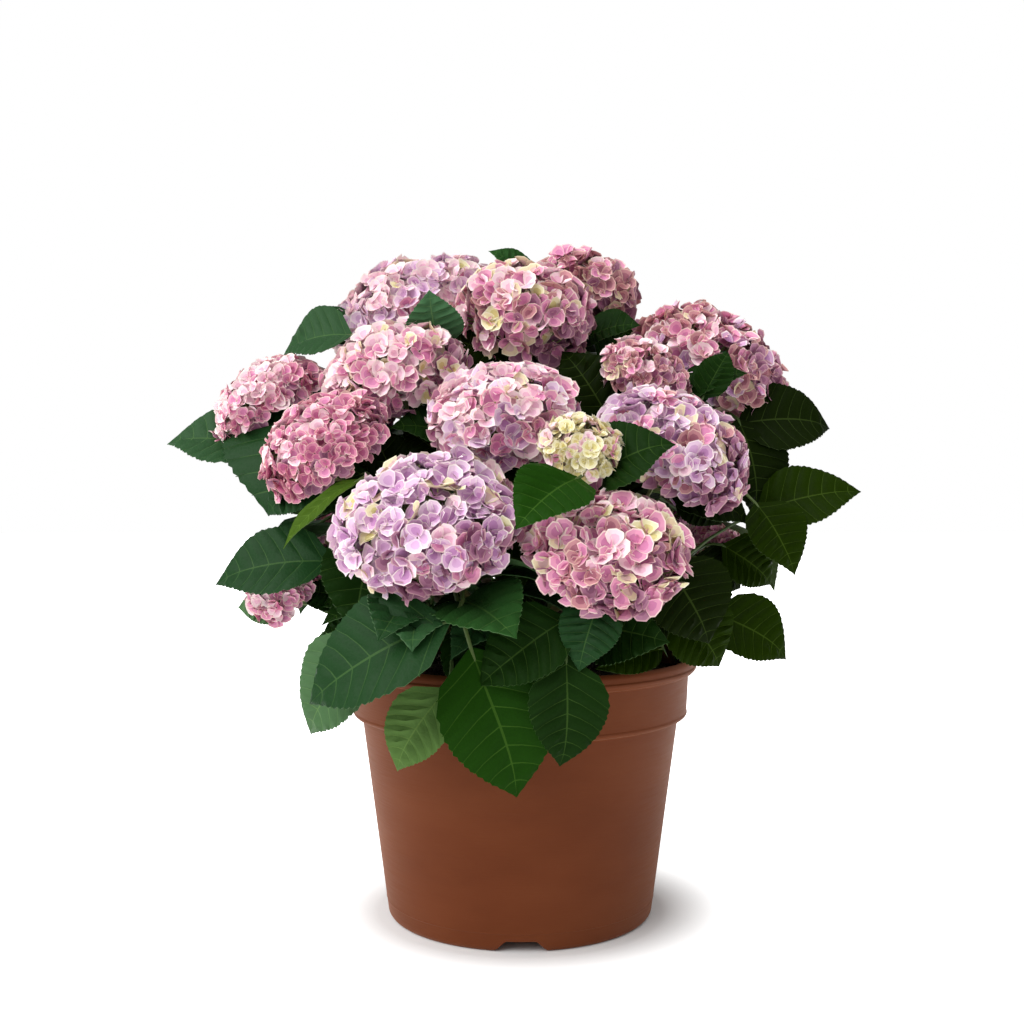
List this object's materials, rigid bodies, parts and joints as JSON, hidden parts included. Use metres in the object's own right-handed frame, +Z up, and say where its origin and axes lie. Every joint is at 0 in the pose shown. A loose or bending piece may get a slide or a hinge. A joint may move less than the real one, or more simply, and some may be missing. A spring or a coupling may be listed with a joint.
{
  "type": "potted mophead hydrangea shrub",
  "caption": "Bushy shrub with round domed flower heads and broad toothed leaves on woody canes, rooted in a round tapered plastic container pot with a rolled lip.",
  "frame": {"origin": "on the pot's axis at ground level, under the pot's foot ring", "axes": "+Z up along the pot's axis; -Y is the front, where the pot's front drainage notch and the largest flower head are; +X is the right side seen from the front"},
  "size_m": [0.4976, 0.4324, 0.5067],
  "materials": {
    "pot_plastic": "terracotta brown moulded plastic, satin matt",
    "soil": "dark crumbly potting mix",
    "cane_bark": "thin greenish brown bark with pale pores",
    "leaves": "dark green leaf, sunken veins, soft sheen",
    "blossom": "soft matt petals, lilac and pink with cream rims"
  },
  "bodies": {
    "root": {"bloom_back_1": "blossom", "bloom_back_2": "blossom", "bloom_back_left_1": "blossom", "bloom_back_left_2": "blossom", "bloom_back_right_1": "blossom", "bloom_back_right_2": "blossom", "bloom_front_left_1": "blossom", "bloom_front_right_1": "blossom", "bloom_front_right_2": "blossom", "bloom_left_1": "blossom", "bloom_left_2": "blossom", "bloom_left_back_1": "blossom", "bloom_left_back_2": "blossom", "bloom_left_front_1": "blossom", "bloom_left_front_2": "blossom", "bloom_middle_1": "blossom", "bloom_middle_2": "blossom", "bloom_right_back_1": "blossom", "bloom_right_back_2": "blossom", "bloom_right_front_1": "blossom", "bloom_right_front_2": "blossom", "cane_back": "cane_bark", "cane_back_left": "cane_bark", "cane_back_right": "cane_bark", "cane_front_left": "cane_bark", "cane_front_right": "cane_bark", "cane_left": "cane_bark", "cane_left_back": "cane_bark", "cane_left_front": "cane_bark", "cane_middle": "cane_bark", "cane_right_back": "cane_bark", "cane_right_front": "cane_bark", "leafy_mass_back": "leaves", "leafy_mass_back_left": "leaves", "leafy_mass_back_right": "leaves", "leafy_mass_front_left": "leaves", "leafy_mass_front_right": "leaves", "leafy_mass_left": "leaves", "leafy_mass_left_back": "leaves", "leafy_mass_left_front": "leaves", "leafy_mass_middle": "leaves", "leafy_mass_right_back": "leaves", "leafy_mass_right_front": "leaves", "pot": "pot_plastic", "potting_soil": "soil", "woody_foot": "cane_bark"}
  },
  "joints": []
}
